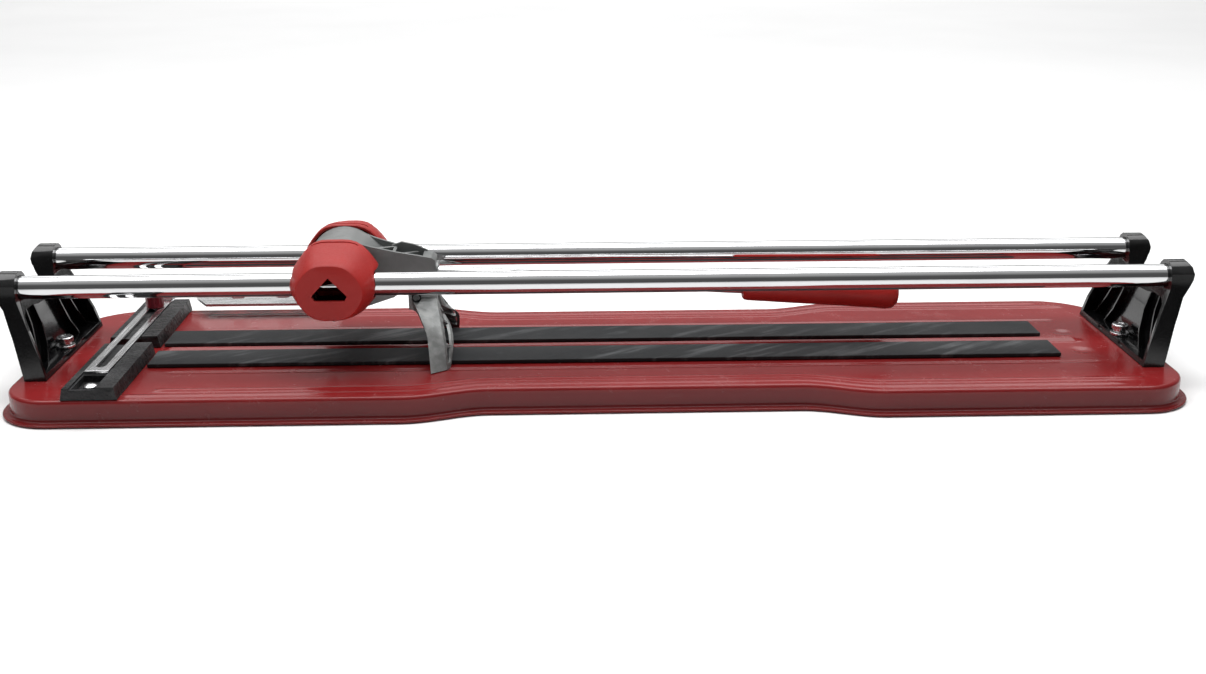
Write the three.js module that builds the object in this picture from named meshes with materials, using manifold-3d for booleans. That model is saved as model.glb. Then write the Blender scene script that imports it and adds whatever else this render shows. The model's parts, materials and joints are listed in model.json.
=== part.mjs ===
// Manual tile cutter: a pressed tray, two guide rails, a sliding carriage with a hinged arm,
// a scoring wheel and breaker, and a cross ruler. Millimetres, +Z up, origin under the tray's centre.
import * as THREE from 'three';
import { mergeVertices } from 'three/addons/utils/BufferGeometryUtils.js';
import Module from 'manifold-3d';

const wasm = await Module();
wasm.setup();

const GAP = 0.3;

// tray
const TRAY_TOP = 16.4;
const SHEET = 1.5;
const TRAY_HALF_LENGTH = 395.5;
const TRAY_HALF_WIDTH = 97.2;
const FLANGE_LENGTH_OUT = 4.8;
const FLANGE_WIDTH_OUT = 6;
const FLANGE_THICK = 1.8;
const FRONT_CORNER_R = 33;
const REAR_CORNER_R = 50;
const WAIST_IN = 13.4;
const WAIST_START = -132.6;
const WAIST_NARROW = -74.7;
const WAIST_WIDE = 131.7;
const WAIST_END = 188.8;
const BEAD_INSET = 17.5;
const BEAD_WIDTH = 7;
const BEAD_HEIGHT = 1;
const RIDGE_TOP = 19;
const RIDGE_WIDTH = 8;

// pads
const PAD_TOP = 19.4;
const PAD_INNER = 7.6;
const PAD_OUTER = 36.3;
const PAD_X0 = -313.2;
const PAD_X1 = 325;

// rails
const RAIL_R = 8;
const RAIL_Y = 36.4;
const RAIL_Z = 75.6;
const RAIL_END = 403.5;

// end brackets, drawn for the right end
const BRACKET_FOOT_IN = 373.6;
const BRACKET_OUT = 407;
const BRACKET_HALF_WIDTH = 60;
const BOSS_R = 11.5;
const BOSS_FACE = 391.2;
const FOOT_TOP = 20.4;
const BOLT_X = 380.4;

// fence and ruler
const FENCE_TOP = 25.4;
const FENCE_FLOOR = 23.6;
const FENCE_FRONT = 96.5;
const FENCE_GAP = 6.5;
const RULER_X = -337.5;
const RULER_HALF = 8.15;
const RULER_Z = 23.9;
const RULER_THICK = 2;
const RULER_FRONT = -66;
const RULER_REAR = 102.6;
const SLOT_HALF = 3.15;
const SLOT_FRONT = -58.5;
const SLOT_REAR = 79;
const KNOB_Y = 75;
const KNOB_R = 6.7;
const KNOB_BOTTOM = 26.3;
const KNOB_TOP = 41;
const FENCE_SCREW_Y = 80;
const REAR_SCREW_Y = 88.5;
const STOP_Z = 26.2;
const STOP_RIGHT = -200;

// carriage and arm
const HUB_X = -180.5;
const HUB_Z = 76.6;
const HUB_R = 25.3;
const HUB_HALF = 19.4;
const CAP_IN = 20;
const CAP_OUT = 62;
const CAP_WALL = 2.6;
const AXLE_R = 6;
const AXLE_HALF = 27;
const ROD_R = 5;
const ROD_TILT = 3.35 * Math.PI / 180;
const ROD_START = 33;
const ROD_END = 375;
const GRIP_START = 284;
const GRIP_LENGTH = 112;
const WHEEL_ANGLE = 108 * Math.PI / 180;
const WHEEL_REACH = 35.5;
const WHEEL_R = 5.5;

// ---------- building helpers ----------

function toSolid(geometry) {
  const bare = geometry.index ? geometry.toNonIndexed() : geometry.clone();
  bare.deleteAttribute('normal');
  bare.deleteAttribute('uv');
  const welded = mergeVertices(bare, 1e-4);
  const positions = welded.attributes.position.array;
  const index = welded.index.array;
  const kept = [];
  let volume = 0;
  for (let i = 0; i < index.length; i += 3) {
    const [a, b, c] = [index[i], index[i + 1], index[i + 2]];
    if (a === b || b === c || c === a) continue;
    kept.push(a, b, c);
    const p = new THREE.Vector3().fromArray(positions, 3 * a);
    const q = new THREE.Vector3().fromArray(positions, 3 * b);
    const r = new THREE.Vector3().fromArray(positions, 3 * c);
    volume += p.dot(q.cross(r));
  }
  const triangles = volume < 0 ? kept.reverse() : kept;
  return new wasm.Manifold(new wasm.Mesh({
    numProp: 3,
    vertProperties: new Float32Array(positions),
    triVerts: new Uint32Array(triangles),
  }));
}

function join(first, ...rest) {
  return rest.reduce((a, b) => a.add(b), first);
}

function cut(first, ...rest) {
  return rest.reduce((a, b) => a.subtract(b), first);
}

function box(x0, x1, y0, y1, z0, z1) {
  const g = new THREE.BoxGeometry(x1 - x0, y1 - y0, z1 - z0);
  g.translate((x0 + x1) / 2, (y0 + y1) / 2, (z0 + z1) / 2);
  return toSolid(g);
}

function flatShape(points) {
  return new THREE.Shape(points.map(([a, b]) => new THREE.Vector2(a, b)));
}

function extruded(points, depth, bevel = 0) {
  const settings = { depth: depth - 2 * bevel, bevelEnabled: bevel > 0, curveSegments: 8 };
  if (bevel > 0) {
    settings.bevelSize = bevel;
    settings.bevelThickness = bevel;
    settings.bevelOffset = -bevel;
    settings.bevelSegments = 2;
  }
  const g = new THREE.ExtrudeGeometry(flatShape(points), settings);
  g.translate(0, 0, bevel);
  return g;
}

// outline in X and Y, standing from z0 to z1
function planPrism(points, z0, z1, bevel = 0) {
  const g = extruded(points, z1 - z0, bevel);
  g.translate(0, 0, z0);
  return toSolid(g);
}

// outline in X and Z, running from y0 to y1
function sidePrism(points, y0, y1, bevel = 0) {
  const g = extruded(points, y1 - y0, bevel);
  g.rotateX(Math.PI / 2);
  g.translate(0, y1, 0);
  return toSolid(g);
}

// outline in Y and Z, running from x0 to x1
function endPrism(points, x0, x1, bevel = 0) {
  const g = extruded(points, x1 - x0, bevel);
  const turn = new THREE.Matrix4().makeBasis(
    new THREE.Vector3(0, 1, 0),
    new THREE.Vector3(0, 0, 1),
    new THREE.Vector3(1, 0, 0),
  );
  g.applyMatrix4(turn);
  g.translate(x0, 0, 0);
  return toSolid(g);
}

// profile of [radius, height] pairs turned about an axis through the point given
function turned(profile, axis, [x, y, z], sides = 32) {
  const points = profile.map(([r, h]) => new THREE.Vector2(r, h));
  const g = new THREE.LatheGeometry(points, sides);
  if (axis === 'z') g.rotateX(Math.PI / 2);
  if (axis === 'x') g.rotateZ(-Math.PI / 2);
  g.translate(x, y, z);
  return toSolid(g);
}

function bar(radius, axis, from, to, [x, y, z], sides = 32) {
  return turned([[0, from], [radius, from], [radius, to], [0, to]], axis, [x, y, z], sides);
}

// rings of points with equal counts, joined one to the next and closed at both ends
function loft(rings) {
  const count = rings[0].length;
  const positions = rings.flat(2);
  const index = [];
  for (let i = 0; i + 1 < rings.length; i++) {
    for (let j = 0; j < count; j++) {
      const a = i * count + j;
      const b = i * count + (j + 1) % count;
      index.push(a, b, b + count, a, b + count, a + count);
    }
  }
  const last = (rings.length - 1) * count;
  for (let j = 1; j + 1 < count; j++) {
    index.push(0, j + 1, j, last, last + j, last + j + 1);
  }
  const g = new THREE.BufferGeometry();
  g.setAttribute('position', new THREE.Float32BufferAttribute(positions, 3));
  g.setIndex(index);
  return toSolid(g);
}

function moved(solid, matrix) {
  return solid.transform(matrix.elements);
}

function mirroredX(solid) {
  return solid.mirror([1, 0, 0]);
}

function mirroredY(solid) {
  return solid.mirror([0, 1, 0]);
}

const group = new THREE.Group();

function add(name, solid, material) {
  const result = solid.getMesh();
  const g = new THREE.BufferGeometry();
  g.setAttribute('position', new THREE.BufferAttribute(new Float32Array(result.vertProperties), 3));
  g.setIndex(new THREE.BufferAttribute(new Uint32Array(result.triVerts), 1));
  g.computeVertexNormals();
  const mesh = new THREE.Mesh(g, material.clone());
  mesh.name = name;
  group.add(mesh);
}

function surface(color, roughness, metalness) {
  return new THREE.MeshStandardMaterial({ color, roughness, metalness });
}

const redPaint = surface(0xb02a2c, 0.35, 0.1);
const redPlastic = surface(0xc93a34, 0.45, 0);
const darkRed = surface(0x7a1519, 0.4, 0);
const blackGloss = surface(0x101112, 0.25, 0);
const blackGrain = surface(0x2b2c2e, 0.75, 0);
const rubber = surface(0x33373a, 0.85, 0);
const chrome = surface(0xd8dadc, 0.08, 1);
const zinc = surface(0xb9bcbf, 0.35, 1);
const casting = surface(0x8b908e, 0.5, 0.8);
const nylon = surface(0xd9d6cc, 0.55, 0);
const carrierGrey = surface(0x3a3c3e, 0.6, 0);
const hardSteel = surface(0x9a9da1, 0.25, 1);

// ---------- tray ----------

function ease(t) {
  return 0.5 - 0.5 * Math.cos(Math.PI * Math.min(1, Math.max(0, t)));
}

// how far the side has drawn in at this station
function waist(x) {
  const into = ease((x - WAIST_START) / (WAIST_NARROW - WAIST_START));
  const out = ease((x - WAIST_WIDE) / (WAIST_END - WAIST_WIDE));
  return WAIST_IN * (into - out);
}

function waistStations() {
  const steps = 6;
  const list = [];
  for (let i = 0; i <= steps; i++) {
    list.push(WAIST_START + (WAIST_NARROW - WAIST_START) * i / steps);
  }
  for (let i = 0; i <= steps; i++) {
    list.push(WAIST_WIDE + (WAIST_END - WAIST_WIDE) * i / steps);
  }
  return list;
}

function halfOutline(halfLength, halfWidth, radius) {
  const steps = 8;
  const half = [];
  for (let i = 0; i <= steps; i++) {
    const a = Math.PI + Math.PI / 2 * i / steps;
    half.push([
      -halfLength + radius + radius * Math.cos(a),
      -halfWidth + radius + radius * Math.sin(a),
    ]);
  }
  for (const x of waistStations()) half.push([x, -halfWidth + waist(x)]);
  for (let i = 0; i <= steps; i++) {
    const a = -Math.PI / 2 + Math.PI / 2 * i / steps;
    half.push([
      halfLength - radius + radius * Math.cos(a),
      -halfWidth + radius + radius * Math.sin(a),
    ]);
  }
  return half;
}

// the wall's outline grown by so much in length and width; the front corners are the tighter ones
function trayOutline(growLength, growWidth) {
  const halfLength = TRAY_HALF_LENGTH + growLength;
  const halfWidth = TRAY_HALF_WIDTH + growWidth;
  const front = halfOutline(halfLength, halfWidth, FRONT_CORNER_R + growLength);
  const rear = halfOutline(halfLength, halfWidth, REAR_CORNER_R + growLength);
  return front.concat(rear.map(([x, y]) => [x, -y]).reverse());
}

// a raised strip along the tray, following the waist where told to
function bead(x0, x1, y, width, top, follow) {
  const stations = [x0 + width / 2, ...(follow ? waistStations() : []), x1 - width / 2];
  const side = stations.map((x) => [x, y + (follow ? waist(x) : 0)]);
  const lower = side.map(([x, v]) => [x, v - width / 2]);
  const upper = side.map(([x, v]) => [x, v + width / 2]).reverse();
  const nose = [-0.5, 0.5].map((k) => [x1 - width * 0.15, y + k * width * 0.6]);
  const tail = [0.5, -0.5].map((k) => [x0 + width * 0.15, y + k * width * 0.6]);
  return planPrism([...lower, ...nose, ...upper, ...tail], TRAY_TOP - 1.2, top, 0.6);
}

function traySolid() {
  const flangeOutline = trayOutline(FLANGE_LENGTH_OUT, FLANGE_WIDTH_OUT);
  const wallOutline = trayOutline(0, 0);
  const hollowOutline = trayOutline(-SHEET, -SHEET);
  const flange = planPrism(flangeOutline, 0, FLANGE_THICK);
  const body = planPrism(wallOutline, -6, TRAY_TOP, 2.4).intersect(box(-420, 420, -110, 110, 0.1, 20));
  const front = bead(-300, 370, -TRAY_HALF_WIDTH + BEAD_INSET, BEAD_WIDTH, TRAY_TOP + BEAD_HEIGHT, true);
  const ridge = bead(PAD_X0 + 3, 352, 0, RIDGE_WIDTH, RIDGE_TOP, false);
  const full = join(flange, body, front, mirroredY(front), ridge);
  const hollow = planPrism(hollowOutline, -3, TRAY_TOP - SHEET);
  const holes = [];
  for (const s of [-1, 1]) holes.push(bar(3 + GAP, 'z', 5, 30, [s * BOLT_X, 0, 0], 16));
  holes.push(bar(2 + GAP, 'z', 5, 30, [RULER_X, -FENCE_SCREW_Y, 0], 12));
  holes.push(bar(2 + GAP, 'z', 5, 30, [RULER_X, REAR_SCREW_Y, 0], 12));
  return cut(full, hollow, ...holes);
}

add('base_tray', traySolid(), redPaint);

function pad(side) {
  const [y0, y1] = side < 0 ? [-PAD_OUTER, -PAD_INNER] : [PAD_INNER, PAD_OUTER];
  return box(PAD_X0, PAD_X1, y0, y1, TRAY_TOP + GAP, PAD_TOP);
}

add('front_pad', pad(-1), rubber);
add('rear_pad', pad(1), rubber);

// ---------- brackets ----------

function bothSides(half) {
  return half.concat(half.map(([y, z]) => [-y, z]).reverse());
}

function bracketOutline() {
  const half = [
    [-BRACKET_HALF_WIDTH, TRAY_TOP + GAP],
    [-58.6, 30],
    [-54.2, 50],
    [-48.3, 70],
  ];
  for (let i = 0; i <= 8; i++) {
    const a = Math.PI * (1.04 - 1.1 * i / 8);
    half.push([-RAIL_Y + BOSS_R * Math.cos(a), RAIL_Z + BOSS_R * Math.sin(a)]);
  }
  half.push([-22, 66.5], [-12, 62.8], [-3, 61.5]);
  return bothSides(half);
}

function bracketHollow() {
  return bothSides([
    [-56.4, FOOT_TOP],
    [-55, 31],
    [-50.6, 49],
    [-47.4, 58.5],
    [-42, 61.4],
    [-30, 61.4],
    [-21, 59.6],
    [-3, 58.4],
  ]);
}

const outerWall = [
  [388.3, TRAY_TOP + GAP],
  [390.6, 30],
  [394.2, 45.4],
  [399.6, 63.5],
];
const WALL = 2.6;

function bracketSide() {
  return [
    ...outerWall,
    [404, 70],
    [406.4, 75],
    [BRACKET_OUT, 79],
    [405.9, 83.6],
    [402.4, 88],
    [BOSS_FACE, 88],
    [BOSS_FACE, 70],
    [388.1, 62],
    [383.5, 50],
    [377.2, 32],
    [BRACKET_FOOT_IN, TRAY_TOP + GAP],
  ];
}

// a thin curved web standing on the inside of the outer wall
function bracketRib(points, thick) {
  const left = points.map(([y, z]) => [y - thick / 2, z]);
  const right = points.map(([y, z]) => [y + thick / 2, z]).reverse();
  const strip = [
    ...outerWall.map(([x, z]) => [x - 1, z]),
    ...outerWall.map(([x, z]) => [x - WALL - 5, z]).reverse(),
  ];
  return endPrism([...left, ...right], 370, BRACKET_OUT).intersect(sidePrism(strip, -60, 60));
}

function bracketSolid() {
  const outline = endPrism(bracketOutline(), 370, BRACKET_OUT + 4);
  const shape = outline.intersect(sidePrism(bracketSide(), -64, 64));
  const hollowSide = [
    [350, FOOT_TOP],
    [389 - WALL, FOOT_TOP],
    ...outerWall.slice(1).map(([x, z]) => [x - WALL, z]),
    [350, 63.5],
  ];
  const hollow = endPrism(bracketHollow(), 350, BRACKET_OUT).intersect(sidePrism(hollowSide, -64, 64));
  const outerRib = bracketRib([[-33, 62], [-35, 50], [-41, 36], [-52, 19]], 1.6);
  const innerRib = bracketRib([[-20, 61], [-20, 46], [-24, 32], [-33, 19]], 1.6);
  const lug = bar(3, 'y', -2.5, 2.5, [390.6, -41, 27], 12);
  const bolt = bar(3 + GAP, 'z', 10, 24, [BOLT_X, 0, 0], 16);
  const relief = bar(6.9, 'z', FOOT_TOP, 34, [BOLT_X, 0, 0], 24);
  const notch = box(370, 375, 14, 24, 18.2, 24);
  const ribs = [outerRib, innerRib, lug];
  const full = join(cut(shape, hollow), ...ribs, ...ribs.map(mirroredY));
  const bores = [-1, 1].map((s) => bar(RAIL_R + GAP, 'x', 380, RAIL_END + GAP, [0, s * RAIL_Y, RAIL_Z], 32));
  return cut(full, bolt, relief, notch, mirroredY(notch), ...bores);
}

const bracket = bracketSolid();
add('right_bracket', bracket, blackGloss);
add('left_bracket', mirroredX(bracket), blackGloss);

const boltProfile = [
  [0, 7],
  [3, 7],
  [3, 22.7],
  [4.3, 22.7],
  [4.3, 25],
  [5.75, 25],
  [5.75, 27.8],
  [5.2, 28.4],
  [0, 28.4],
];

function hexPrism(radius, z0, z1, x) {
  return bar(radius, 'z', z0, z1, [x, 0, 0], 6);
}

for (const [name, s] of [['left', -1], ['right', 1]]) {
  const x = s * BOLT_X;
  const bolt = turned(boltProfile, 'z', [x, 0, 0], 24);
  add(`${name}_bolt`, cut(bolt, hexPrism(2.9, 26.2, 30, x)), zinc);
  add(`${name}_washer`, cut(
    bar(6.5, 'z', FOOT_TOP + GAP, 22.4, [x, 0, 0], 24),
    bar(3 + GAP, 'z', 10, 30, [x, 0, 0], 16),
  ), zinc);
  add(`${name}_nut`, cut(hexPrism(5.8, 9.6, TRAY_TOP - SHEET - GAP, x), bar(3 + GAP, 'z', 0, 30, [x, 0, 0], 16)), zinc);
}

// ---------- rails ----------

const railProfile = [
  [0, -RAIL_END],
  [RAIL_R, -RAIL_END],
  [RAIL_R, RAIL_END],
  [0, RAIL_END],
];
add('front_rail', turned(railProfile, 'x', [0, -RAIL_Y, RAIL_Z], 32), chrome);
add('rear_rail', turned(railProfile, 'x', [0, RAIL_Y, RAIL_Z], 32), chrome);

// ---------- fence ----------

const fenceSide = [
  [-352.3, TRAY_TOP + GAP],
  [-315.6, TRAY_TOP + GAP],
  [-317.2, FENCE_TOP],
  [-328.7, FENCE_TOP],
  [-328.7, FENCE_FLOOR],
  [-346.3, FENCE_FLOOR],
  [-346.3, 24.8],
  [-350.4, 24.8],
];

function fenceHalf(y0, y1, pocket0, pocket1, screwY) {
  const pocket = box(RULER_X - 7.5, RULER_X + 7.5, pocket0, pocket1, 19, 30);
  const hole = bar(2 + GAP, 'z', 10, 30, [RULER_X, screwY, 0], 12);
  return cut(sidePrism(fenceSide, y0, y1), pocket, hole);
}

const frontFence = fenceHalf(-FENCE_FRONT, -FENCE_GAP, -94, -68.5, -FENCE_SCREW_Y);
const rearFence = cut(
  fenceHalf(FENCE_GAP, FENCE_FRONT, 82.5, 94.5, REAR_SCREW_Y),
  bar(2.5 + GAP, 'z', 10, 30, [RULER_X, KNOB_Y, 0], 16),
);
add('fence_front', frontFence, blackGrain);
add('fence_rear', rearFence, blackGrain);

const screwProfile = [
  [0, 9],
  [2, 9],
  [2, 19 + GAP],
  [4.7, 19 + GAP],
  [4.5, 20.6],
  [3.4, 21.5],
  [1.6, 21.9],
  [0, 21.9],
];
add('fence_screw_front', turned(screwProfile, 'z', [RULER_X, -FENCE_SCREW_Y, 0], 16), zinc);
add('fence_screw_rear', turned(screwProfile, 'z', [RULER_X, REAR_SCREW_Y, 0], 16), zinc);

// ---------- ruler ----------

function slotOutline(halfWidth, y0, y1) {
  const points = [];
  for (let i = 0; i <= 6; i++) {
    const a = Math.PI + Math.PI * i / 6;
    points.push([RULER_X + halfWidth * Math.cos(a), y0 + halfWidth + halfWidth * Math.sin(a)]);
  }
  for (let i = 0; i <= 6; i++) {
    const a = Math.PI * i / 6;
    points.push([RULER_X + halfWidth * Math.cos(a), y1 - halfWidth + halfWidth * Math.sin(a)]);
  }
  return points;
}

const rivetPlaces = [[RULER_X - 3.6, 97.5], [RULER_X + 3.6, 97.5]];
const rivetHoles = rivetPlaces.map(([x, y]) => bar(1.6 + GAP, 'z', 20, 40, [x, y, 0], 12));
const rulerBar = cut(
  box(RULER_X - RULER_HALF, RULER_X + RULER_HALF, RULER_FRONT, RULER_REAR, RULER_Z, RULER_Z + RULER_THICK),
  planPrism(slotOutline(SLOT_HALF, SLOT_FRONT, SLOT_REAR), 20, 30),
  ...rivetHoles,
);
add('ruler_bar', rulerBar, chrome);

const stopOutline = [
  [RULER_X - RULER_HALF, 92],
  [RULER_X + RULER_HALF, 92],
  [RULER_X + RULER_HALF + 3, 98],
  [-314, 98],
  [-298.6, 73.3],
  [STOP_RIGHT, 73.3],
  [STOP_RIGHT, RULER_REAR],
  [RULER_X - RULER_HALF, RULER_REAR],
];

function ovalHole(x, y, halfLength, radius) {
  return join(
    box(x - halfLength + radius, x + halfLength - radius, y - radius, y + radius, 20, 32),
    bar(radius, 'z', 20, 32, [x - halfLength + radius, y, 0], 16),
    bar(radius, 'z', 20, 32, [x + halfLength - radius, y, 0], 16),
  );
}

const stopPlate = cut(
  planPrism(stopOutline, STOP_Z, STOP_Z + 2),
  ovalHole(-278, 90, 5.4, 3),
  ovalHole(-243, 91, 5.4, 3),
  ...rivetHoles,
);
add('stop_plate', stopPlate, zinc);

const rivetProfile = [
  [0, RULER_Z],
  [1.6, RULER_Z],
  [1.6, STOP_Z + 2 + GAP],
  [2.8, STOP_Z + 2 + GAP],
  [2.3, STOP_Z + 3.3],
  [0, STOP_Z + 3.7],
];
rivetPlaces.forEach(([x, y], i) => {
  add(`stop_rivet_${i + 1}`, turned(rivetProfile, 'z', [x, y, 0], 12), zinc);
});

// ---------- clamp knob ----------

const knobAt = [RULER_X, KNOB_Y, 0];
const knobProfile = [
  [0, KNOB_BOTTOM],
  [KNOB_R - 0.6, KNOB_BOTTOM],
  [KNOB_R, KNOB_BOTTOM + 0.6],
  [KNOB_R, KNOB_TOP - 1.4],
  [KNOB_R - 1.4, KNOB_TOP],
  [0, KNOB_TOP],
];
const knobFlutes = [];
for (let i = 0; i < 10; i++) {
  const a = 2 * Math.PI * i / 10;
  const place = [RULER_X + 7.3 * Math.cos(a), KNOB_Y + 7.3 * Math.sin(a), 0];
  knobFlutes.push(bar(1.1, 'z', KNOB_BOTTOM + 3, 50, place, 8));
}
const knobBore = bar(2.5 + GAP, 'z', 20, 34 + GAP, knobAt, 16);
add('clamp_knob', cut(turned(knobProfile, 'z', knobAt, 30), knobBore, ...knobFlutes), darkRed);
add('knob_stud', bar(2.5, 'z', 17.4, 34, knobAt, 16), zinc);

// ---------- carriage ----------

// [distance from the middle, half width, half height, how far six soft lobes stand out]
const capStations = [
  [CAP_IN, 29.2, 26.2, 0.6],
  [CAP_IN + 1, 30, 27, 0.7],
  [28, 30.4, 26.2, 0.7],
  [34, 30.1, 25.2, 0.7],
  [46, 28, 23, 0.6],
  [55, 25, 20.9, 0.5],
  [60.6, 22.8, 19.9, 0.4],
  [CAP_OUT, 21.9, 19, 0.3],
];

function capForm(stations, inward) {
  const sides = 36;
  return loft(stations.map(([y, wide, high, lobe]) => {
    const ring = [];
    for (let i = 0; i < sides; i++) {
      const a = 2 * Math.PI * i / sides;
      const oval = (wide + high) / 2 + (wide - high) / 2 * Math.cos(2 * a);
      const r = oval - inward + lobe * Math.cos(6 * a);
      ring.push([HUB_X + r * Math.cos(a), y, HUB_Z + r * Math.sin(a)]);
    }
    return ring;
  }));
}

const windowOutline = [
  [HUB_X - 9.6, 71.2],
  [HUB_X + 10, 71.2],
  [HUB_X + 11.7, 74.2],
  [HUB_X + 10.4, 76],
  [HUB_X, 87.1],
  [HUB_X - 10.4, 76],
  [HUB_X - 11.7, 74.2],
];

function capSolid() {
  const hollow = [[CAP_IN - 3, 30, 27.6, 0.7], ...capStations.slice(2, -2), [CAP_OUT - CAP_WALL, 23.2, 20.1, 0.4]];
  const shell = cut(capForm(capStations, 0), capForm(hollow, CAP_WALL));
  const railRoom = [[10, RAIL_Z - 9.4]];
  for (let i = 0; i <= 12; i++) {
    const a = -Math.PI / 2 + Math.PI * i / 12;
    railRoom.push([RAIL_Y + 9.4 * Math.cos(a), RAIL_Z + 9.4 * Math.sin(a)]);
  }
  railRoom.push([10, RAIL_Z + 9.4]);
  const railWay = endPrism(railRoom, HUB_X - 40, HUB_X + 40);
  const band = capForm([[25, 34, 32, 0.7], [27.4, 34, 32, 0.7]], 0);
  const groove = cut(band, capForm([[24, 30, 26, 0.7], [28.4, 29.7, 25.5, 0.7]], 0));
  const grooveTop = groove.intersect(box(HUB_X - 16, HUB_X + 16, 10, 60, HUB_Z + 18, HUB_Z + 40));
  const face = sidePrism(windowOutline, 50, 70);
  return cut(shell, railWay, grooveTop, face);
}

const rearCap = capSolid();
add('front_cap', mirroredY(rearCap), redPlastic);
add('rear_cap', rearCap, redPlastic);

function carrierSolid() {
  const centre = [HUB_X, 0, HUB_Z];
  const plug = turned([[0, 20.6], [22.6, 20.6], [22.6, 26], [20.8, 36], [19.2, 46], [0, 46]], 'y', centre, 32);
  const middle = box(HUB_X - 12.2, HUB_X + 12.2, 27.6, 60, HUB_Z - 40, HUB_Z + 40);
  const bore = bar(10 + GAP, 'x', -40, 40, [HUB_X, RAIL_Y, RAIL_Z], 24);
  const axle = bar(AXLE_R + GAP, 'y', 10, 40, centre, 24);
  return cut(plug, middle, bore, axle);
}

const rearCarrier = carrierSolid();
add('front_carrier', mirroredY(rearCarrier), carrierGrey);
add('rear_carrier', rearCarrier, carrierGrey);

const BUSH_LENGTH = 6;
const BUSH_PLACES = [-18.8, 12.8];
for (const [name, s] of [['front', -1], ['rear', 1]]) {
  BUSH_PLACES.forEach((offset, i) => {
    const at = [HUB_X + offset, s * RAIL_Y, RAIL_Z];
    const ring = cut(bar(10, 'x', 0, BUSH_LENGTH, at, 24), bar(RAIL_R + GAP, 'x', -5, 20, at, 32));
    add(`${name}_bushing_${i + 1}`, ring, nylon);
  });
}

add('pivot_axle', bar(AXLE_R, 'y', -AXLE_HALF, AXLE_HALF, [HUB_X, 0, HUB_Z], 24), zinc);

// ---------- arm ----------

// from coordinates along the rod (x), across it (y) and above it (z) to the assembly
const rodFrame = new THREE.Matrix4()
  .makeTranslation(HUB_X, 0, HUB_Z - 0.2)
  .multiply(new THREE.Matrix4().makeRotationY(ROD_TILT));

const armSide = [
  [-172, 52.9],
  [-161.7, 53],
  [-150, 56.4],
  [-143.9, 58.2],
  [-137.6, 62.6],
  [-115.2, 62.6],
  [-114.4, 66],
  [-114.4, 83.6],
  [-117, 85.6],
  [-126, 87.6],
  [-140, 90.4],
  [-158, 95.4],
  [-172, 100.2],
];
const troughSide = [
  [-165, 110],
  [-165, 99.4],
  [-154, 90],
  [-140, 84],
  [-123, 80.4],
  [-123, 110],
];
const ribSide = [
  [-172, 60],
  [-172, 99.2],
  [-158, 94.4],
  [-140, 89.4],
  [-118, 84.6],
  [-118, 60],
];
const armPlan = [
  [-190, -HUB_HALF],
  [-176, -HUB_HALF],
  [-165, -15.4],
  [-150, -12.6],
  [-136, -10.6],
  [-112, -8.4],
  [-112, 8.4],
  [-136, 10.6],
  [-150, 12.6],
  [-165, 15.4],
  [-176, HUB_HALF],
  [-190, HUB_HALF],
];
const troughPlan = [
  [-165, -12.6],
  [-150, -10],
  [-137, -8.2],
  [-123, -6.8],
  [-123, 6.8],
  [-137, 8.2],
  [-150, 10],
  [-165, 12.6],
];

function armSolid() {
  const hub = bar(HUB_R, 'y', -HUB_HALF, HUB_HALF, [HUB_X, 0, HUB_Z], 40);
  const neck = sidePrism([[-186, 54], ...armSide, [-186, 99]], -30, 30).intersect(planPrism(armPlan, 40, 120));
  const trough = planPrism(troughPlan, 70, 115).intersect(sidePrism(troughSide, -30, 30));
  const diagonals = [
    planPrism([[-157, -11.6], [-155, -11.6], [-141, 8.8], [-143, 8.8]], 76, 110),
    planPrism([[-140, -8.8], [-138, -8.8], [-126, 7], [-128, 7]], 76, 110),
    planPrism([[-144, -9.4], [-142, -9.4], [-142, 9.4], [-144, 9.4]], 76, 110),
  ].map((rib) => rib.intersect(sidePrism(ribSide, -30, 30)));
  const wedge = sidePrism([[-146, 78], [-121, 78], [-121, 87.4], [-130, 91.4], [-139, 93.4], [-146, 91]], 6.8, 9.2);
  const full = join(hub, cut(neck, trough), ...diagonals, wedge);
  const socket = moved(bar(8.8, 'x', 52, 67.4, [0, 0, 0], 24), rodFrame);
  const rodBore = moved(bar(ROD_R + GAP, 'x', ROD_START - GAP, 90, [0, 0, 0], 24), rodFrame);
  const axleBore = bar(AXLE_R + GAP, 'y', -40, 40, [HUB_X, 0, HUB_Z], 24);
  const holderFrame = new THREE.Matrix4()
    .makeTranslation(HUB_X, 0, HUB_Z)
    .multiply(new THREE.Matrix4().makeRotationY(WHEEL_ANGLE));
  const holderPocket = moved(box(16 - GAP, 60, -6 - GAP, 6 + GAP, -5 - GAP, 5 + GAP), holderFrame);
  return cut(join(full, socket), rodBore, axleBore, holderPocket);
}

add('arm_casting', armSolid(), casting);
add('handle_rod', moved(bar(ROD_R, 'x', ROD_START, ROD_END, [0, 0, 0], 24), rodFrame), chrome);

const gripProfile = [
  [0, 0],
  [7.6, 0],
  [9.2, 1.4],
  [9.7, 4],
  [10, 40],
  [10.8, 90],
  [11.3, 103],
  [10.6, 108],
  [7.6, 111.2],
  [0, GRIP_LENGTH],
];
const grip = cut(
  turned(gripProfile, 'x', [GRIP_START, 0, 0], 28),
  bar(ROD_R + GAP, 'x', GRIP_START - 5, ROD_END + GAP, [0, 0, 0], 24),
);
add('handle_grip', moved(grip, rodFrame), redPlastic);

// ---------- breaker ----------

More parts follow.
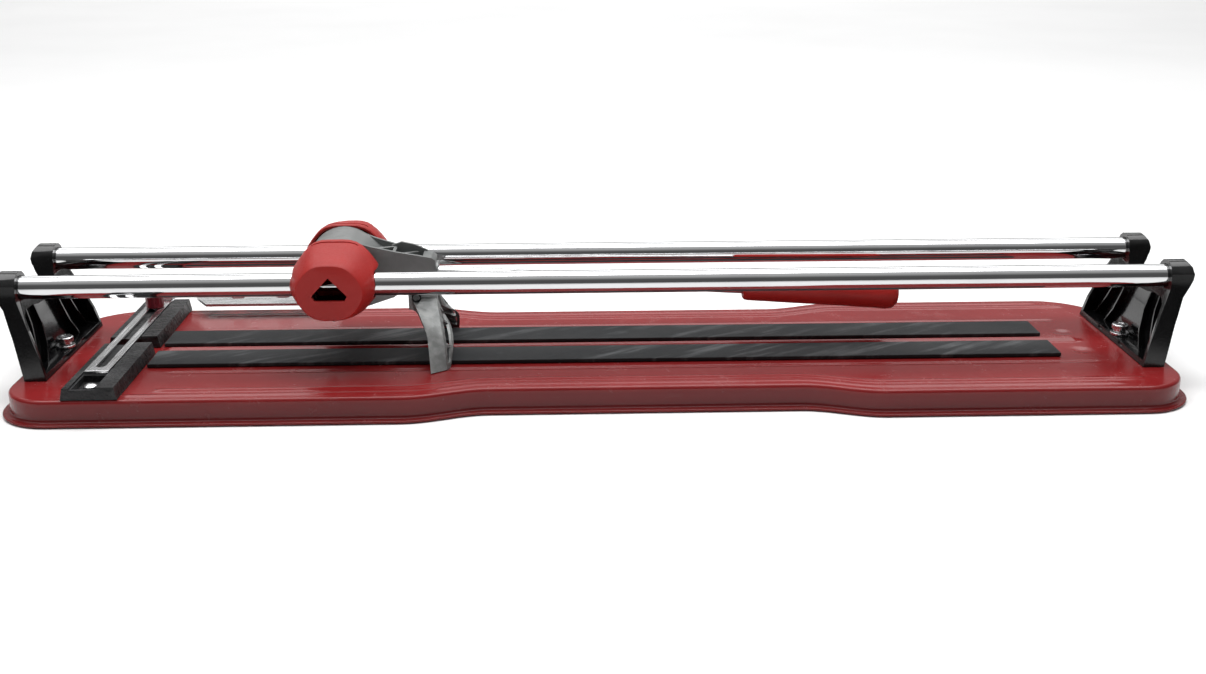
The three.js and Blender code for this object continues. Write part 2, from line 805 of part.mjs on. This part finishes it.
// outer left, outer right, inner right and inner left edges of one leg, from the top down
const legEdges = [
  [[-133, -5, 57], [-130.5, -13, 55.5], [-125.5, -25, 49.5], [-119.8, -36, 38.4], [-117.9, -45.5, 30], [-116, -56, 17]],
  [[-114.6, -5, 58], [-113.6, -13, 53], [-111.4, -23, 44], [-108.6, -35, 34.5], [-107, -42.5, 27], [-105.8, -48.5, 17]],
  [[-112.4, -5, 47], [-108.5, -9, 43.4], [-104, -19, 38.5], [-102, -29, 32], [-102.4, -36, 25], [-103.4, -42.8, 17]],
  [[-133, -5, 47], [-129, -9, 46], [-124.5, -18, 40], [-119.6, -28.5, 33], [-118, -38.5, 26], [-116.6, -48.5, 17]],
].map((edge) => new THREE.CatmullRomCurve3(edge.map((p) => new THREE.Vector3(...p)), false, 'centripetal'));

// a point of the leg: how far down, how far from left to right, how far from the outer skin inward
function legPoint(down, across, inward) {
  const [ol, or, ir, il] = legEdges.map((edge) => edge.getPoint(down));
  const outer = ol.lerp(or, across);
  return outer.lerp(il.lerp(ir, across), inward);
}

// a length of the leg between two depths, with its edges changing evenly from top to bottom
function legPiece(from, to, steps) {
  const rings = [];
  for (let i = 0; i <= steps; i++) {
    const t = i / steps;
    const mixed = from.map((v, k) => v + (to[k] - v) * t);
    const [down, a0, a1, d0, d1] = mixed;
    rings.push([[a0, d0], [a1, d0], [a1, d1], [a0, d1]].map(([a, d]) => legPoint(down, a, d).toArray()));
  }
  return loft(rings);
}

function legWeb(down0, across0, down1, across1) {
  const half = 0.055;
  return legPiece(
    [down0 - 0.015, across0 - half, across0 + half, 0.12, 0.97],
    [down1 + 0.015, across1 - half, across1 + half, 0.12, 0.97],
    2,
  );
}

function breakerSolid() {
  const leg = legPiece([0, 0, 1, 0, 1], [1, 0, 1, 0, 1], 12);
  const pocket = legPiece([0.2, 0.1, 1.3, 0.26, 1.5], [0.93, 0.1, 1.3, 0.26, 1.5], 8);
  const rim = legPiece([0.1, 0.89, 1, 0.8, 1], [0.97, 0.89, 1, 0.8, 1], 8);
  const webs = [
    legWeb(0.18, 0.15, 0.36, 0.93),
    legWeb(0.36, 0.93, 0.54, 0.15),
    legWeb(0.54, 0.15, 0.7, 0.93),
    legWeb(0.7, 0.93, 0.86, 0.15),
    legWeb(0.86, 0.15, 0.96, 0.93),
  ];
  const half = join(cut(leg, pocket), rim, ...webs);
  const block = box(-134.4, -114.6, -7.4, 7.4, 47.6, 62.3);
  const hole = bar(2 + GAP, 'y', -20, 20, [-128.6, 0, 57.2], 16);
  const counterbore = bar(3.3 + GAP, 'y', -20, -7.4, [-128.6, 0, 57.2], 16);
  return cut(join(half, mirroredY(half), block), hole, counterbore, box(-180, -80, -80, 80, 0, 17));
}

add('breaker', breakerSolid(), casting);

const breakerScrew = [
  [0, -10.4],
  [2.6, -10.4],
  [3.3, -9.6],
  [3.3, -7.4 - GAP],
  [2, -7.4 - GAP],
  [2, 9.4],
  [0, 9.4],
];
add('breaker_screw', turned(breakerScrew, 'y', [-128.6, 0, 57.2], 16), blackGloss);

// ---------- scoring wheel ----------

const wheelFrame = new THREE.Matrix4()
  .makeTranslation(HUB_X, 0, HUB_Z)
  .multiply(new THREE.Matrix4().makeRotationY(WHEEL_ANGLE));
const holder = cut(
  box(16, 38.5, -6, 6, -5, 5),
  box(WHEEL_REACH - WHEEL_R - 1.4, 60, -1.6, 1.6, -9, 9),
  bar(1.5 + GAP, 'y', -20, 20, [WHEEL_REACH, 0, 0], 16),
);
add('wheel_holder', moved(holder, wheelFrame), zinc);
const wheelPin = [
  [0, -8.4],
  [2.8, -8.4],
  [2.8, -6 - GAP],
  [1.5, -6 - GAP],
  [1.5, 7.4],
  [0, 7.4],
];
add('wheel_pin', moved(turned(wheelPin, 'y', [WHEEL_REACH, 0, 0], 16), wheelFrame), zinc);
const wheelProfile = [
  [1.5 + GAP, -1.2],
  [3.6, -1.2],
  [WHEEL_R, 0],
  [3.6, 1.2],
  [1.5 + GAP, 1.2],
  [1.5 + GAP, -1.2],
];
add('scoring_wheel', moved(turned(wheelProfile, 'y', [WHEEL_REACH, 0, 0], 24), wheelFrame), hardSteel);

export default group;
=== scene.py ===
import json
import math

import bmesh
import bpy
from mathutils import Matrix, Vector


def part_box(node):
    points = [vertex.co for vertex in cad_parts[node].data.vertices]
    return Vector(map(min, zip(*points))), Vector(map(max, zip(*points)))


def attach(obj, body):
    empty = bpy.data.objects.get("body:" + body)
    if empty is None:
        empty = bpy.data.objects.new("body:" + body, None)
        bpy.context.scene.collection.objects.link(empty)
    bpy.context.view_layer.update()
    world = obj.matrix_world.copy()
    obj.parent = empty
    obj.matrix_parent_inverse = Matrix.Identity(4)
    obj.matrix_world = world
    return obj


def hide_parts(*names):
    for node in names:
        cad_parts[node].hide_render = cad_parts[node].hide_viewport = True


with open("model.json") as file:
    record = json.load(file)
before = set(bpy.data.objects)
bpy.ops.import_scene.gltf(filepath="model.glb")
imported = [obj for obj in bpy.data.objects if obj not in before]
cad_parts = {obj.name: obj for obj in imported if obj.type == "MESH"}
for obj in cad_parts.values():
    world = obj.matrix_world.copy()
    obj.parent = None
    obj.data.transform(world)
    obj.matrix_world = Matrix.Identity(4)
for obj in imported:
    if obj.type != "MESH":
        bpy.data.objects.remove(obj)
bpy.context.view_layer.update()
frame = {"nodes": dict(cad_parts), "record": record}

MM = 0.001

record = frame["record"]
BODY_OF = {n: b for b, members in record["behaviour"]["bodies"].items() for n in members}
SLOT_OF = {s["node"]: s["material_slot"] for s in record["subparts"]}

# ---------- materials ----------


class Tree:
    """A material's node tree, with short ways to add and join nodes."""

    def __init__(self, name):
        self.material = bpy.data.materials.new(name)
        self.material.use_nodes = True
        self.nodes = self.material.node_tree.nodes
        self.links = self.material.node_tree.links
        self.shader = self.nodes["Principled BSDF"]

    def add(self, kind, **values):
        node = self.nodes.new(kind)
        for key, value in values.items():
            if key in node.inputs:
                node.inputs[key].default_value = value
            else:
                setattr(node, key, value)
        return node

    def join(self, source, target):
        self.links.new(source, target)

    def place(self, stretch=(1, 1, 1)):
        """Object coordinates, drawn out along an axis by a small scale there."""
        where = self.add("ShaderNodeTexCoord")
        mapping = self.add("ShaderNodeMapping")
        mapping.inputs["Scale"].default_value = stretch
        self.join(where.outputs["Object"], mapping.inputs["Vector"])
        return mapping.outputs["Vector"]

    def distance_along(self, axis):
        """The object's own coordinate along one axis, in metres."""
        split = self.add("ShaderNodeSeparateXYZ")
        self.join(self.place(), split.inputs[0])
        return split.outputs[axis]

    def noise(self, scale, detail=4.0, rough=0.55, stretch=(1, 1, 1)):
        node = self.add("ShaderNodeTexNoise", Scale=scale, Detail=detail, Roughness=rough)
        self.join(self.place(stretch), node.inputs["Vector"])
        return node.outputs["Fac"]

    def ramp(self, value, low, high):
        """0 at low and 1 at high, held past both; low may be the greater."""
        node = self.add("ShaderNodeMapRange")
        node.inputs["From Min"].default_value = low
        node.inputs["From Max"].default_value = high
        self.join(value, node.inputs["Value"])
        return node.outputs["Result"]

    def span(self, value, low, high, to_low, to_high):
        node = self.add("ShaderNodeMapRange")
        for key, number in (("From Min", low), ("From Max", high), ("To Min", to_low), ("To Max", to_high)):
            node.inputs[key].default_value = number
        self.join(value, node.inputs["Value"])
        return node.outputs["Result"]

    def mix(self, amount, first, second):
        node = self.add("ShaderNodeMix", data_type="RGBA")
        self.feed(amount, node.inputs["Factor"])
        self.feed(first, node.inputs[6])
        self.feed(second, node.inputs[7])
        return node.outputs[2]

    def times(self, first, second, operation="MULTIPLY"):
        node = self.add("ShaderNodeMath", operation=operation)
        self.feed(first, node.inputs[0])
        self.feed(second, node.inputs[1])
        return node.outputs[0]

    def feed(self, value, target):
        if hasattr(value, "is_output"):
            self.join(value, target)
        elif isinstance(value, (tuple, list)):
            target.default_value = (*value, 1.0) if len(value) == 3 else value
        else:
            target.default_value = value

    def bump(self, height, distance, strength=1.0, under=None):
        node = self.add("ShaderNodeBump", Strength=strength, Distance=distance)
        self.join(height, node.inputs["Height"])
        if under is not None:
            self.join(under, node.inputs["Normal"])
        return node.outputs["Normal"]

    def edges(self, low, high):
        """1 along the sharp outer edges."""
        node = self.add("ShaderNodeNewGeometry")
        return self.ramp(node.outputs["Pointiness"], low, high)

    def finish(self, colour, rough, normal=None, metallic=0.0, **fixed):
        self.feed(colour, self.shader.inputs["Base Color"])
        self.feed(rough, self.shader.inputs["Roughness"])
        self.shader.inputs["Metallic"].default_value = metallic
        if normal is not None:
            self.join(normal, self.shader.inputs["Normal"])
        for key, value in fixed.items():
            self.shader.inputs[key.replace("_", " ")].default_value = value
        return self.material


def enamel():
    """Glossy red enamel on pressed steel: slight orange peel, dust and fine scuffs, with painted shade that darkens
    the wall and flange below the top.
    """
    t = Tree("red_enamel")
    patches = t.noise(9, 5)
    dust = t.ramp(t.noise(55, 8, 0.7), 0.52, 0.82)
    scuffs = t.ramp(t.noise(260, 3, 0.6, (0.12, 1, 1)), 0.66, 0.78)
    base = t.mix(t.ramp(patches, 0.35, 0.7), (0.215, 0.013, 0.014), (0.265, 0.020, 0.021))
    dusty = t.mix(t.times(dust, 0.16), base, (0.36, 0.15, 0.145))
    scuffed = t.mix(t.times(scuffs, 0.10), dusty, (0.42, 0.20, 0.19))
    # painted shade: below the top's rounded edge the wall and flange are mixed towards a dark red, darkening down to
    # 12 mm and evenly dark below that
    colour = t.mix(t.times(t.ramp(t.distance_along("Z"), 0.0164, 0.0120), 0.55), scuffed, (0.095, 0.006, 0.007))
    rough = t.span(dust, 0, 1, 0.20, 0.42)
    peel = t.bump(t.noise(420, 2), 0.00012, 0.35)
    normal = t.bump(t.noise(26, 3), 0.0006, 0.25, peel)
    return t.finish(colour, rough, normal, Specular_IOR_Level=0.30, Coat_Weight=0.06, Coat_Roughness=0.10)


def moulded(name, dark, light, rough, grain, depth, wear=None, coat=0.0):
    """Moulded plastic with a fine grain, faint cloudiness and rubbed edges."""
    t = Tree(name)
    cloud = t.ramp(t.noise(30, 5), 0.35, 0.68)
    colour = t.mix(cloud, dark, light)
    if wear is not None:
        rubbed = t.times(t.edges(0.53, 0.62), t.ramp(t.noise(140, 4), 0.45, 0.62))
        colour = t.mix(t.times(rubbed, 0.6), colour, wear)
    speckle = t.ramp(t.noise(900, 2), 0.45, 0.7)
    roughness = t.span(speckle, 0, 1, rough, rough + 0.12)
    fine = t.bump(t.noise(grain, 3, 0.6), depth, 0.6)
    normal = t.bump(t.noise(70, 3), depth * 3, 0.3, fine)
    return t.finish(colour, roughness, normal, Specular_IOR_Level=0.34, Coat_Weight=coat, Coat_Roughness=0.15)


def pad_rubber():
    """Matt rubber with chalky diagonal scuffs."""
    t = Tree("pad_rubber")
    cloud = t.ramp(t.noise(22, 6, 0.65), 0.38, 0.66)
    turn = t.add("ShaderNodeMapping")
    turn.inputs["Rotation"].default_value = (0, 0, math.radians(-32))
    t.join(t.place(), turn.inputs["Vector"])
    draw = t.add("ShaderNodeMapping")
    draw.inputs["Scale"].default_value = (14, 130, 14)
    t.join(turn.outputs["Vector"], draw.inputs["Vector"])
    streak = t.add("ShaderNodeTexNoise", Scale=1.0, Detail=6.0, Roughness=0.6)
    t.join(draw.outputs["Vector"], streak.inputs["Vector"])
    rub = t.times(t.ramp(streak.outputs["Fac"], 0.50, 0.66), t.ramp(t.noise(14, 4), 0.42, 0.58))
    base = t.mix(cloud, (0.012, 0.013, 0.0145), (0.021, 0.023, 0.025))
    colour = t.mix(t.times(rub, 0.75), base, (0.115, 0.12, 0.124))
    fine = t.bump(t.noise(1500, 3, 0.7), 0.0002, 0.7)
    normal = t.bump(streak.outputs["Fac"], 0.0003, 0.25, fine)
    return t.finish(colour, t.span(cloud, 0, 1, 0.62, 0.8), normal, Specular_IOR_Level=0.35)


def plated(name, dark, light, rough, spread, along=(1, 1, 1), haze=0.0):
    """Bright plating with faint draw marks along one axis and a few hazy patches."""
    t = Tree(name)
    marks = t.noise(700, 4, 0.6, along)
    patch = t.ramp(t.noise(18, 6, 0.6), 0.45, 0.75)
    colour = t.mix(patch, light, dark)
    rub = t.ramp(marks, 0.4, 0.7)
    roughness = t.times(t.span(rub, 0, 1, rough, rough + spread), t.times(patch, haze), "ADD")
    normal = t.bump(marks, 0.00004, 0.35)
    return t.finish(colour, roughness, normal, metallic=1.0)


def cast_metal():
    """Grey die-cast alloy: sandy skin, painted shade darkening the hollows and corners, brighter on rubbed edges."""
    t = Tree("die_cast")
    cloud = t.ramp(t.noise(38, 6, 0.62), 0.36, 0.66)
    rubbed = t.times(t.edges(0.52, 0.60), t.ramp(t.noise(160, 4), 0.38, 0.6))
    # painted shade: hollow corners, found by low pointiness, are mixed towards a dark grey
    geometry = t.add("ShaderNodeNewGeometry")
    painted_corner_shade = t.span(geometry.outputs["Pointiness"], 0.40, 0.49, 1.0, 0.0)
    base = t.mix(cloud, (0.185, 0.192, 0.190), (0.225, 0.232, 0.230))
    shaded = t.mix(t.times(painted_corner_shade, 0.5), base, (0.10, 0.105, 0.105))
    colour = t.mix(t.times(rubbed, 0.4), shaded, (0.42, 0.43, 0.42))
    skin = t.bump(t.noise(1100, 4, 0.7), 0.00025, 0.6)
    normal = t.bump(t.noise(120, 4), 0.0005, 0.35, skin)
    return t.finish(colour, t.span(cloud, 0, 1, 0.42, 0.58), normal, metallic=0.55)


MATERIALS = {
    "red_paint": enamel(),
    "pad_rubber": pad_rubber(),
    "black_gloss": moulded("black_gloss", (0.0018, 0.0018, 0.002), (0.004, 0.004, 0.0045), 0.13, 500, 0.00004,
                           (0.03, 0.03, 0.031), 0.2),
    "black_grain": moulded("black_grain", (0.006, 0.006, 0.0065), (0.013, 0.013, 0.0145), 0.45, 330, 0.0030,
                           (0.08, 0.08, 0.08)),
    "zinc_hardware": plated("zinc_plate", (0.48, 0.47, 0.45), (0.72, 0.72, 0.73), 0.22, 0.12, haze=0.12),
    "rail_chrome": plated("rail_chrome", (0.60, 0.60, 0.61), (0.68, 0.685, 0.69), 0.045, 0.035, (0.03, 1, 1), 0.03),
    "rod_chrome": plated("rod_chrome", (0.78, 0.78, 0.79), (0.86, 0.865, 0.87), 0.06, 0.04, (0.03, 1, 1), 0.04),
    "ruler_steel": plated("ruler_steel", (0.76, 0.76, 0.76), (0.90, 0.90, 0.91), 0.16, 0.12, (1, 0.04, 1), 0.10),
    "stop_zinc": plated("stop_zinc", (0.66, 0.66, 0.67), (0.86, 0.865, 0.87), 0.24, 0.10, (0.08, 1, 1), 0.08),
    "knob_red": moulded("knob_red", (0.12, 0.004, 0.010), (0.17, 0.008, 0.016), 0.28, 600, 0.00008, None, 0.4),
    "red_plastic": moulded("red_plastic", (0.34, 0.010, 0.007), (0.40, 0.014, 0.011), 0.46, 900, 0.00015,
                           (0.55, 0.10, 0.08)),
    "carrier_grey": moulded("carrier_grey", (0.020, 0.020, 0.021), (0.035, 0.035, 0.036), 0.5, 700, 0.0002),
    "bushing_nylon": moulded("bushing_nylon", (0.60, 0.58, 0.52), (0.68, 0.66, 0.60), 0.45, 800, 0.00012),
    "casting_grey": cast_metal(),
    "wheel_steel": plated("wheel_steel", (0.45, 0.45, 0.46), (0.62, 0.62, 0.63), 0.18, 0.1, haze=0.1),
}

# ---------- pieces ----------


def finished(piece, body, slot, *nodes):
    """Gives a piece the material of its slot, hangs it on its body's empty and hides the CAD nodes that it stands for.
    """
    piece.data.materials.clear()
    piece.data.materials.append(MATERIALS[slot])
    if nodes:
        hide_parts(*nodes)
    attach(piece, body)
    return piece


def new_object(name, mesh):
    piece = bpy.data.objects.new(name, mesh)
    bpy.context.scene.collection.objects.link(piece)
    return piece


def from_bmesh(name, bm, crease=30):
    mesh = bpy.data.meshes.new(name)
    bmesh.ops.recalc_face_normals(bm, faces=bm.faces)
    bm.to_mesh(mesh)
    bm.free()
    mesh.shade_smooth()
    mesh.set_sharp_from_angle(angle=math.radians(crease))
    return new_object(name, mesh)


def soften(piece, width, segments=2, angle=32):
    edge = piece.modifiers.new("soft_edges", "BEVEL")
    edge.width = width
    edge.segments = segments
    edge.limit_method = "ANGLE"
    edge.angle_limit = math.radians(angle)
    edge.use_clamp_overlap = True
    return piece


def refined(node, soft=0.3 * MM, crease=30):
    """The CAD node's shape with joined faces, smooth curves and softened edges."""
    bm = bmesh.new()
    bm.from_mesh(frame["nodes"][node].data)
    bmesh.ops.remove_doubles(bm, verts=bm.verts, dist=1e-6)
    bmesh.ops.dissolve_limit(bm, angle_limit=math.radians(0.8), verts=bm.verts, edges=bm.edges)
    piece = from_bmesh(node + "_fine", bm, crease)
    if soft:
        soften(piece, soft)
    return finished(piece, BODY_OF[node], SLOT_OF[node], node)


def ring_faces(bm, rings, closed=True, flip=False):
    for a, b in zip(rings, rings[1:]):
        count = len(a)
        for j in range(count if closed else count - 1):
            k = (j + 1) % count
            corners = (a[j], a[k], b[k], b[j])
            bm.faces.new(corners[::-1] if flip else corners)


TRAY_LOW, TRAY_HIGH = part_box("base_tray")
RIDGE_TOP = TRAY_HIGH.z
TRAY_TOP = 16.4 * MM
FLANGE_HALF = Vector((TRAY_HIGH.x, TRAY_HIGH.y))
WALL_HALF = Vector((FLANGE_HALF.x - 4.8 * MM, FLANGE_HALF.y - 6.0 * MM))
FRONT_CORNER = 33 * MM
REAR_CORNER = 50 * MM
WAIST_IN = 13.4 * MM
WAIST_MARKS = [v * MM for v in (-132.6, -74.7, 131.7, 188.8)]


def ease(t):
    return 0.5 - 0.5 * math.cos(math.pi * min(1.0, max(0.0, t)))


def waist(x):
    a, b, c, d = WAIST_MARKS
    return WAIST_IN * (ease((x - a) / (b - a)) - ease((x - c) / (d - c)))


def half_outline(half, radius, corner_steps=20, waist_steps=20):
    """One side of the tray's outline, drawn at the front, from the left end to the right."""
    points = []
    for i in range(corner_steps + 1):
        a = math.pi + math.pi / 2 * i / corner_steps
        points.append((-half.x + radius + radius * math.cos(a), -half.y + radius + radius * math.sin(a)))
    for x0, x1 in zip(WAIST_MARKS[::2], WAIST_MARKS[1::2]):
        for i in range(waist_steps + 1):
            x = x0 + (x1 - x0) * i / waist_steps
            points.append((x, -half.y + waist(x)))
    for i in range(corner_steps + 1):
        a = -math.pi / 2 + math.pi / 2 * i / corner_steps
        points.append((half.x - radius + radius * math.cos(a), -half.y + radius + radius * math.sin(a)))
    return points


def outline(inset, flange=0.0):
    """The wall's outline drawn in by inset, or drawn out towards the flange's edge."""
    out = Vector((FLANGE_HALF.x - WALL_HALF.x, FLANGE_HALF.y - WALL_HALF.y)) * flange
    half = WALL_HALF + out - Vector((inset, inset))
    front = half_outline(half, FRONT_CORNER - inset + out.x)
    rear = half_outline(half, REAR_CORNER - inset + out.x)
    return front + [(x, -y) for x, y in reversed(rear)]


def smooth_rise(distance, half_width):
    """1 on a bead's centre line, 0 past its edge."""
    return 1 - ease(distance / half_width) if distance < half_width else 0.0


def strip(x, x0, x1, blend):
    """1 between the ends of a strip, falling to 0 over blend at each end."""
    return ease((x - x0) / blend) * ease((x1 - x) / blend)


def tray_relief(x, y):
    """How far the pressed top stands above or below its plane."""
    side = abs(y)
    edge = WALL_HALF.y - waist(x)
    from_edge = edge - side
    rise = 1.0 * MM * smooth_rise(abs(from_edge - 17.5 * MM), 4.0 * MM) * strip(x, -300 * MM, 370 * MM, 10 * MM)
    rise += 0.5 * MM * smooth_rise(abs(from_edge - 8.5 * MM), 2.4 * MM) * strip(x, -352 * MM, 354 * MM, 12 * MM)
    rise -= 0.5 * MM * smooth_rise(abs(side - 46 * MM), 2.6 * MM) * strip(x, -300 * MM, 352 * MM, 10 * MM)
    rise += (RIDGE_TOP - TRAY_TOP) * smooth_rise(side, 5.2 * MM) * strip(x, -313 * MM, 353 * MM, 8 * MM)
    for cx, cy, r in ((345 * MM, 18 * MM, 8 * MM), (344 * MM, -22 * MM, 9 * MM)):
        rise -= 0.9 * MM * smooth_rise(math.hypot(x - cx, y - cy), r)
    return rise


def spread(low, high, marks, step):
    """Stations from low to high, closer together near the marks."""
    stations = [low]
    while stations[-1] < high - 1e-9:
        here = stations[-1]
        near = min(abs(here - m) for m in marks)
        stations.append(min(high, here + (step if near > 3 * step else step * 0.45)))
    return stations


def half_width_at(x, half, radius):
    """How far the outline stands from the middle at x, on the side with that corner radius."""
    past = abs(x) - (half.x - radius)
    return half.y - waist(x) if past < 0 else half.y - radius + math.sqrt(max(0.0, radius**2 - past**2))


def tray_top():
    """The pressed top, a grid that follows the outline."""
    inset = 2.4 * MM
    half = WALL_HALF - Vector((inset, inset))
    bm = bmesh.new()
    marks = [v * MM for v in (-313, -300, -352, 353, 370, 354, 345)]
    columns = []
    rows = 132
    for x in spread(-half.x, half.x, marks + [-half.x, half.x], 6 * MM):
        y_front = -half_width_at(x, half, FRONT_CORNER - inset)
        y_rear = half_width_at(x, half, REAR_CORNER - inset)
        column = []
        for j in range(rows + 1):
            y = y_front + (y_rear - y_front) * j / rows
            column.append(bm.verts.new((x, y, TRAY_TOP + tray_relief(x, y))))
        columns.append(column)
    ring_faces(bm, columns, closed=False, flip=True)
    return bm


def tray():
    """Rolled flange, wall and top in one sheet, open below."""
    bm = tray_top()
    # each row: share of the way out to the flange's edge, inset and height in millimetres
    section = [(1.0, 0.0, 0.9)]
    for i in range(5):
        a = math.pi / 2 * i / 4
        section.append((0.85 + 0.15 * math.cos(a), 0.0, 0.9 + 0.9 * math.sin(a)))
    section += [(0.55, 0.0, 1.5), (0.25, 0.0, 1.5), (0.10, 0.0, 1.9), (0.02, 0.0, 2.9), (0.0, 0.0, 4.4),
                (0.0, 0.0, 9.0), (0.0, 0.0, 14.0)]
    for i in range(1, 6):
        a = math.pi / 2 * i / 5
        section.append((0.0, 2.4 * (1 - math.cos(a)), 14.0 + 2.4 * math.sin(a)))
    section.append((0.0, 5.0, 16.32))
    under = [(1.0, 0.0, 0.9), (0.93, 0.0, 0.2), (0.85, 0.0, 0.0), (0.2, 0.0, 0.0), (0.05, 1.0, 0.6),
             (0.0, 1.5, 3.0), (0.0, 1.5, 12.0), (0.0, 2.4, 14.2), (0.0, 4.4, 14.9)]
    for profile in (section, under):
        rings = []
        for flange, inset, z in profile:
            ring = outline(inset * MM, flange)
            rings.append([bm.verts.new((x, y, z * MM)) for x, y in ring])
        ring_faces(bm, rings, flip=profile is under)
        if profile is under:
            bm.faces.new(rings[-1][::-1])
    bmesh.ops.remove_doubles(bm, verts=bm.verts, dist=1e-6)
    mesh = bpy.data.meshes.new("base_tray_fine")
    bm.to_mesh(mesh)
    bm.free()
    mesh.shade_smooth()
    mesh.set_sharp_from_angle(angle=math.radians(50))
    return finished(new_object("base_tray_fine", mesh), "base", "red_paint", "base_tray")


tray()

for side in ("front", "rear"):
    refined(side + "_pad", 0.5 * MM)
    refined(side + "_rail", 0.6 * MM)
    refined("fence_" + side, 0.35 * MM)
    refined("fence_screw_" + side, 0.2 * MM)
    refined(side + "_cap", 0.5 * MM)
    refined(side + "_carrier", 0.3 * MM)
    for number in ("1", "2"):
        refined(side + "_bushing_" + number, 0.2 * MM)
for side in ("left", "right"):
    refined(side + "_bracket", 0.9 * MM, 35)
    refined(side + "_bolt", 0.2 * MM)
    refined(side + "_washer", 0.25 * MM)
    refined(side + "_nut", 0.2 * MM)
for node in ("ruler_bar", "stop_plate", "clamp_knob"):
    refined(node, 0.4 * MM)
for node in ("stop_rivet_1", "stop_rivet_2", "knob_stud", "pivot_axle", "breaker_screw", "wheel_pin", "scoring_wheel"):
    refined(node, 0.15 * MM)
refined("arm_casting", 0.7 * MM)
refined("breaker", 0.35 * MM, 40)
refined("wheel_holder", 0.4 * MM)
refined("handle_rod", 0.3 * MM)
refined("handle_grip", 0.3 * MM)

# ---------- floor, light and camera ----------


def floor():
    bm = bmesh.new()
    bmesh.ops.create_grid(bm, x_segments=2, y_segments=2, size=9)
    t = Tree("pale_floor")
    cloud = t.ramp(t.noise(3, 4), 0.3, 0.7)
    colour = t.mix(cloud, (0.90, 0.90, 0.90), (0.93, 0.93, 0.93))
    # painted shade: the floor in front of the tray, out of view, is darker and stands in for the darker room on the
    # operator's side
    shaded = t.mix(t.ramp(t.distance_along("Y"), -0.44, -0.90), colour, (0.62, 0.62, 0.62))
    t.finish(shaded, 0.9, t.bump(t.noise(240, 3), 0.0001, 0.2))
    mesh = bpy.data.meshes.new("floor")
    bm.to_mesh(mesh)
    bm.free()
    mesh.materials.append(t.material)
    plane = new_object("floor", mesh)
    plane.location.z = -0.0006


def area_light(name, place, aim, size, watts):
    lamp = bpy.data.lights.new(name, "AREA")
    lamp.shape = "RECTANGLE"
    lamp.size, lamp.size_y = size
    lamp.energy = watts
    holder = bpy.data.objects.new(name, lamp)
    holder.location = place
    holder.rotation_euler = (Vector(aim) - Vector(place)).to_track_quat("-Z", "Y").to_euler()
    bpy.context.scene.collection.objects.link(holder)


def studio_world():
    """A soft bright room, darker low down on the side that the operator stands."""
    world = bpy.data.worlds.new("studio")
    bpy.context.scene.world = world
    world.use_nodes = True
    nodes, links = world.node_tree.nodes, world.node_tree.links
    where = nodes.new("ShaderNodeTexCoord")
    split = nodes.new("ShaderNodeSeparateXYZ")
    links.new(where.outputs["Generated"], split.inputs[0])
    height = nodes.new("ShaderNodeMapRange")
    height.interpolation_type = "SMOOTHSTEP"
    for key, value in (("From Min", 0.46), ("From Max", 0.97), ("To Min", 0.10), ("To Max", 0.6)):
        height.inputs[key].default_value = value
    links.new(split.outputs["Z"], height.inputs["Value"])
    behind = nodes.new("ShaderNodeMapRange")
    behind.interpolation_type = "SMOOTHSTEP"
    for key, value in (("From Min", -0.1), ("From Max", 0.6), ("To Min", 0.0), ("To Max", 0.30)):
        behind.inputs[key].default_value = value
    links.new(split.outputs["Y"], behind.inputs["Value"])
    brighter = nodes.new("ShaderNodeMath")
    brighter.operation = "MAXIMUM"
    links.new(height.outputs["Result"], brighter.inputs[0])
    links.new(behind.outputs["Result"], brighter.inputs[1])
    background = nodes["Background"]
    background.inputs["Color"].default_value = (1, 1, 1, 1)
    links.new(brighter.outputs[0], background.inputs["Strength"])


def camera():
    """A level view from the operator's side, slightly above the rails."""
    data = bpy.data.cameras.new("camera")
    data.lens = 40.4
    data.sensor_width = 36
    data.clip_start = 0.01
    data.clip_end = 50
    holder = bpy.data.objects.new("camera", data)
    yaw, pitch, roll = 0.03171, 0.32921, -0.00181
    forward = Vector((math.sin(yaw) * math.cos(pitch), math.cos(yaw) * math.cos(pitch), -math.sin(pitch)))
    level = Vector((math.cos(yaw), -math.sin(yaw), 0))
    rise = level.cross(forward)
    right = math.cos(roll) * level + math.sin(roll) * rise
    up = math.cos(roll) * rise - math.sin(roll) * level
    turn = Matrix((right, up, -forward)).transposed().to_4x4()
    holder.matrix_world = Matrix.Translation(Vector((-0.02624, -0.92380, 0.33867))) @ turn
    bpy.context.scene.collection.objects.link(holder)
    bpy.context.scene.camera = holder


floor()
studio_world()
area_light("overhead", (0.0, 0.25, 1.7), (0, 0, 0), (2.6, 1.2), 40)
area_light("left", (-1.4, -0.2, 1.5), (0, 0, 0), (0.9, 0.9), 2)
area_light("backdrop", (0.0, 3.4, 2.4), (0, 3.6, 0), (5.0, 2.6), 75)
camera()
bpy.context.scene.view_settings.view_transform = "Standard"
